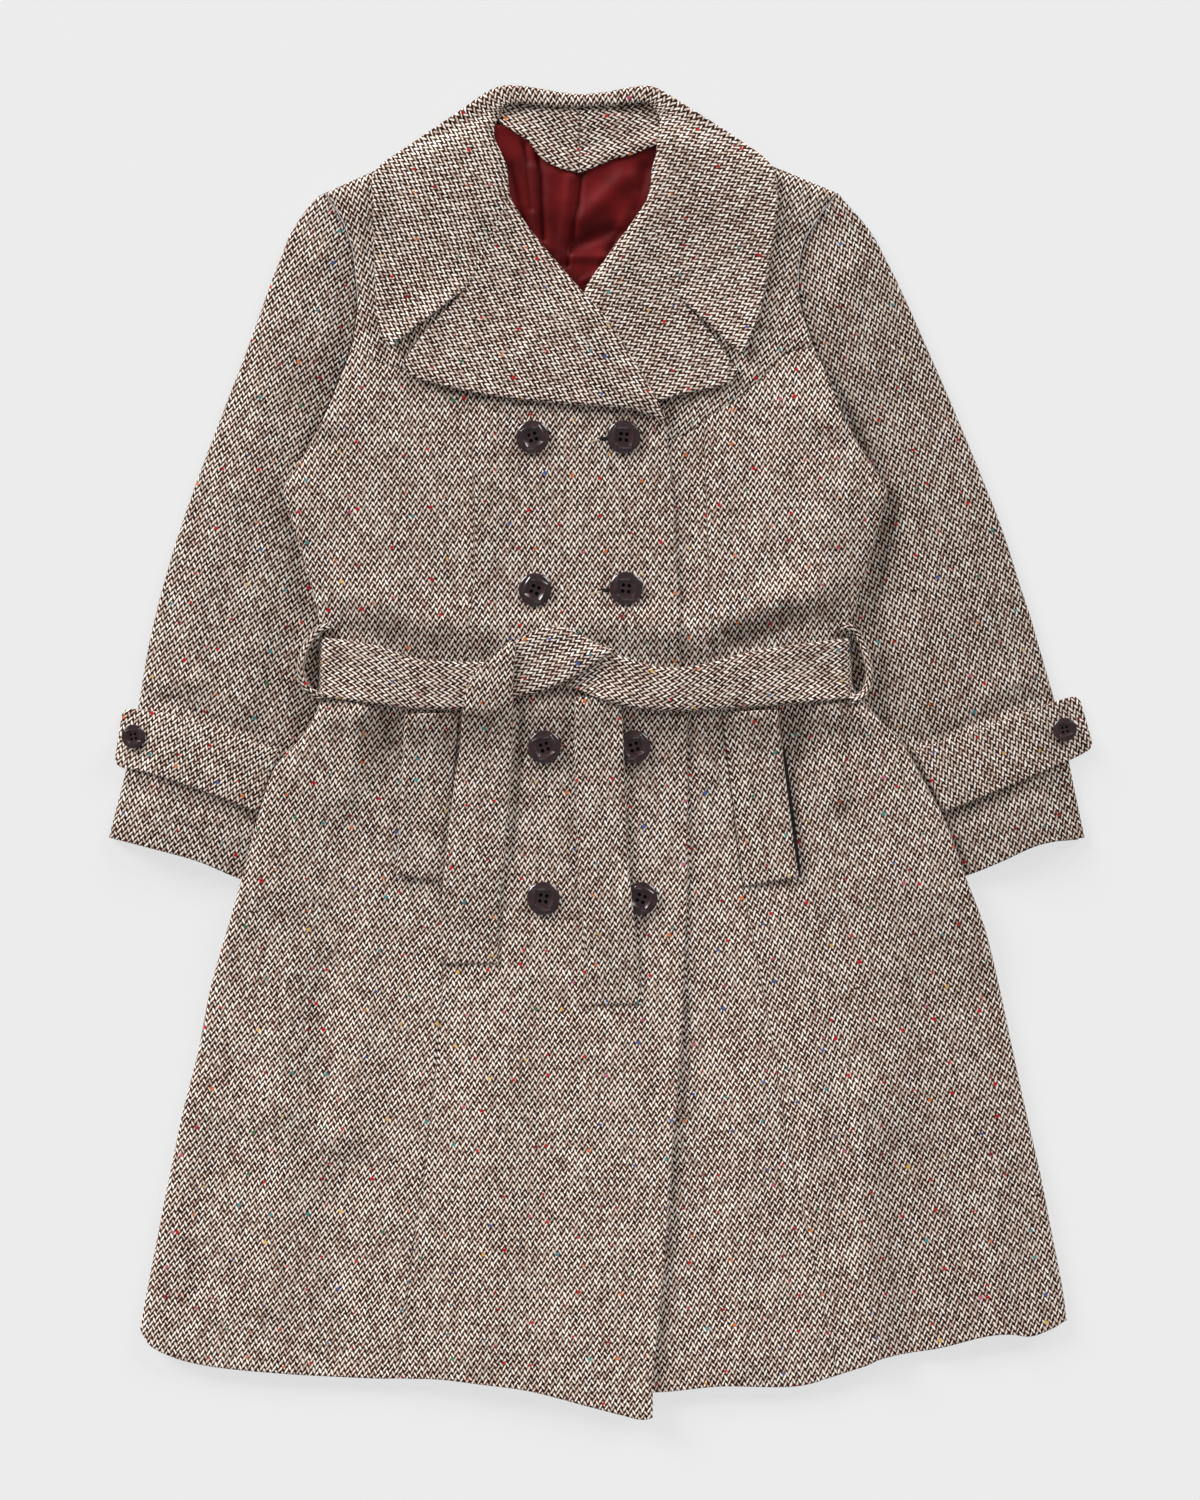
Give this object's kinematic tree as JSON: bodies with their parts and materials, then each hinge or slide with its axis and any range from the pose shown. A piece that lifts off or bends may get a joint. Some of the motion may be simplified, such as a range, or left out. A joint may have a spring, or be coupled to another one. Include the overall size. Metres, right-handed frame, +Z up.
{
  "type": "double-breasted overcoat",
  "caption": "Double-breasted tweed overcoat with a wide collar, notched lapels, flared skirt, buttoned sleeve tabs and a half-knotted tie belt, laid flat on its back.",
  "frame": {"origin": "on the floor under the middle of the coat's bounding box", "axes": "+Y from the hem to the collar, +X towards the wearer's left, +Z up out of the fronts"},
  "size_m": [0.848, 1.144, 0.0256],
  "materials": {
    "tweed": "woolly two-tone barleycorn tweed with small coloured flecks",
    "lining": "smooth satin",
    "button": "polished"
  },
  "bodies": {
    "root": {"back": "tweed", "yoke_right": "tweed", "yoke_left": "tweed", "front_right": "tweed", "front_left": "tweed", "side_right": "tweed", "side_left": "tweed", "welt_right": "tweed", "welt_left": "tweed", "top_sleeve_right": "tweed", "top_sleeve_left": "tweed", "under_sleeve_right": "tweed", "under_sleeve_left": "tweed", "tab_right": "tweed", "tab_left": "tweed", "collar": "tweed", "collar_fall": "tweed", "lapel_right": "tweed", "lapel_left": "tweed", "neck_facing": "tweed", "belt_back": "tweed", "belt_right": "tweed", "belt_left": "tweed", "belt_wrap": "tweed", "tail_long": "tweed", "tail_short": "tweed", "loop_right": "tweed", "loop_left": "tweed", "lining": "lining", "tab_button_right": "button", "tab_button_left": "button", "button_1": "button", "button_2": "button", "button_3": "button", "button_4": "button", "button_5": "button", "button_6": "button", "button_7": "button", "button_8": "button"}
  },
  "joints": []
}
